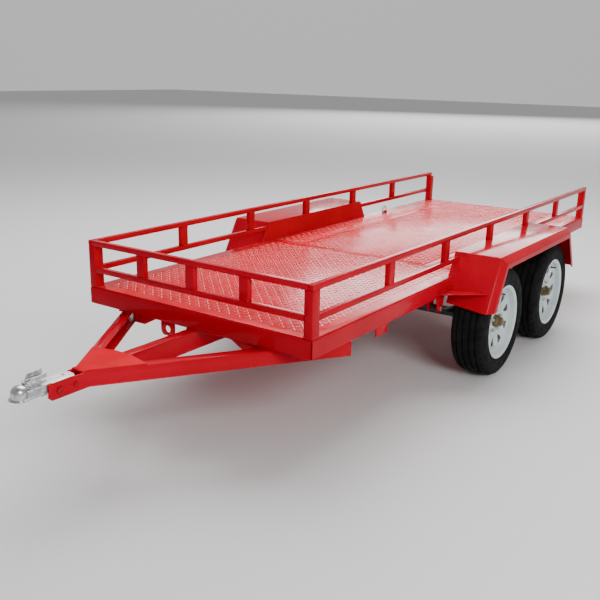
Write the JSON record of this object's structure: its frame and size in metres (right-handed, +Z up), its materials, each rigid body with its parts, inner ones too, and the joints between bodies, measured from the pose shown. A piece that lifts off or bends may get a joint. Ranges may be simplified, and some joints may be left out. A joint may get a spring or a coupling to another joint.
{
  "type": "flat tandem-axle livestock and plant trailer",
  "caption": "Low flat trailer with a rail fence, sprung tandem axles, boxy fenders, a vee drawbar and a ball coupler with a lifting lever.",
  "frame": {"origin": "on the ground, under the middle of the trailer's overall length and width", "axes": "+X from the coupler towards the rear of the deck, +Y towards the trailer's right-hand side, +Z up"},
  "size_m": [4.388, 1.744, 0.757],
  "materials": {
    "body_red": "gloss red enamel over steel, with soft sky reflections",
    "deck_red": "gloss red enamel over raised-bar chequer plate",
    "tyre_rubber": "black ribbed tyre, matt",
    "rim_white": "light grey-white enamel on pressed steel",
    "hub_metal": "cast hub with a yellow passivated cap",
    "plated_fixings": "zinc plated",
    "coupler_zinc": "bright zinc plate on pressed steel",
    "spring_steel": "dark oiled spring steel",
    "axle_black": "satin black paint",
    "bump_rubber": "matt black rubber"
  },
  "bodies": {
    "chassis": {"side_rail_left": "body_red", "side_rail_right": "body_red", "front_crossmember": "body_red", "rear_crossmember": "body_red", "inner_crossmembers": "body_red", "deck_front_plate": "deck_red", "deck_rear_plate": "deck_red", "deck_side_strips": "deck_red", "drawbar_left_arm": "body_red", "drawbar_right_arm": "body_red", "drawbar_centre_beam": "body_red", "drawbar_top_plate": "body_red", "drawbar_gussets": "body_red", "chain_lug": "body_red", "side_brackets": "body_red", "corner_posts": "body_red", "top_rail_left": "body_red", "top_rail_right": "body_red", "top_rail_front": "body_red", "mid_rails": "body_red", "rail_posts": "body_red", "fender_left": "body_red", "fender_right": "body_red", "fender_stays": "body_red", "spring_hangers": "body_red", "spring_bolts": "plated_fixings", "bump_stops": "bump_rubber", "bump_stop_brackets": "body_red", "ring_bracket": "body_red", "coupler_body": "coupler_zinc", "coupler_cover_plate": "coupler_zinc", "coupler_bolts": "plated_fixings", "coupler_pivot_pin": "plated_fixings"},
    "front_axle": {"front_axle_beam": "axle_black", "front_springs": "spring_steel", "front_spring_clamps": "plated_fixings"},
    "rear_axle": {"rear_axle_beam": "axle_black", "rear_springs": "spring_steel", "rear_spring_clamps": "plated_fixings"},
    "wheel_front_left": {"tyre_front_left": "tyre_rubber", "rim_front_left": "rim_white", "hub_front_left": "hub_metal", "nuts_front_left": "plated_fixings"},
    "wheel_front_right": {"tyre_front_right": "tyre_rubber", "rim_front_right": "rim_white", "hub_front_right": "hub_metal", "nuts_front_right": "plated_fixings"},
    "wheel_rear_left": {"tyre_rear_left": "tyre_rubber", "rim_rear_left": "rim_white", "hub_rear_left": "hub_metal", "nuts_rear_left": "plated_fixings"},
    "wheel_rear_right": {"tyre_rear_right": "tyre_rubber", "rim_rear_right": "rim_white", "hub_rear_right": "hub_metal", "nuts_rear_right": "plated_fixings"},
    "lever": {"coupler_lever": "coupler_zinc"},
    "jaw": {"coupler_jaw": "spring_steel"},
    "ring": {"lashing_ring": "plated_fixings"}
  },
  "joints": [
    {"name": "front_suspension", "type": "slide", "parent": "chassis", "child": "front_axle", "axis": [0, 0, 1], "range_m": [-0.03, 0.025], "stiffness_N_per_m": 100000, "springref_m": -0.0248, "deforming": ["front_springs"]},
    {"name": "rear_suspension", "type": "slide", "parent": "chassis", "child": "rear_axle", "axis": [0, 0, 1], "range_m": [-0.03, 0.025], "stiffness_N_per_m": 100000, "springref_m": -0.00165, "deforming": ["rear_springs"]},
    {"name": "wheel_front_left_spin", "type": "hinge", "parent": "front_axle", "child": "wheel_front_left", "pos_m": [0.169, -0.745, 0.285], "axis": [0, 1, 0], "continuous": true},
    {"name": "wheel_front_right_spin", "type": "hinge", "parent": "front_axle", "child": "wheel_front_right", "pos_m": [0.169, 0.745, 0.285], "axis": [0, 1, 0], "continuous": true},
    {"name": "wheel_rear_left_spin", "type": "hinge", "parent": "rear_axle", "child": "wheel_rear_left", "pos_m": [0.926, -0.745, 0.285], "axis": [0, 1, 0], "continuous": true},
    {"name": "wheel_rear_right_spin", "type": "hinge", "parent": "rear_axle", "child": "wheel_rear_right", "pos_m": [0.926, 0.745, 0.285], "axis": [0, 1, 0], "continuous": true},
    {"name": "coupler_lever_lift", "type": "hinge", "parent": "chassis", "child": "lever", "pos_m": [-2.118, 0.008, 0.467], "axis": [0, -1, 0], "range_deg": [0, 60]},
    {"name": "coupler_jaw_slide", "type": "slide", "parent": "chassis", "child": "jaw", "axis": [1, 0, 0], "range_m": [0, 0.012]},
    {"name": "lashing_ring_swing", "type": "hinge", "parent": "chassis", "child": "ring", "pos_m": [1.374, 0.566, 0.548], "axis": [1, 0, 0], "range_deg": [0, 100]}
  ],
  "couplings": [
    {"joint": "coupler_jaw_slide", "follows": "coupler_lever_lift", "m_per_rad": 0.0114}
  ]
}
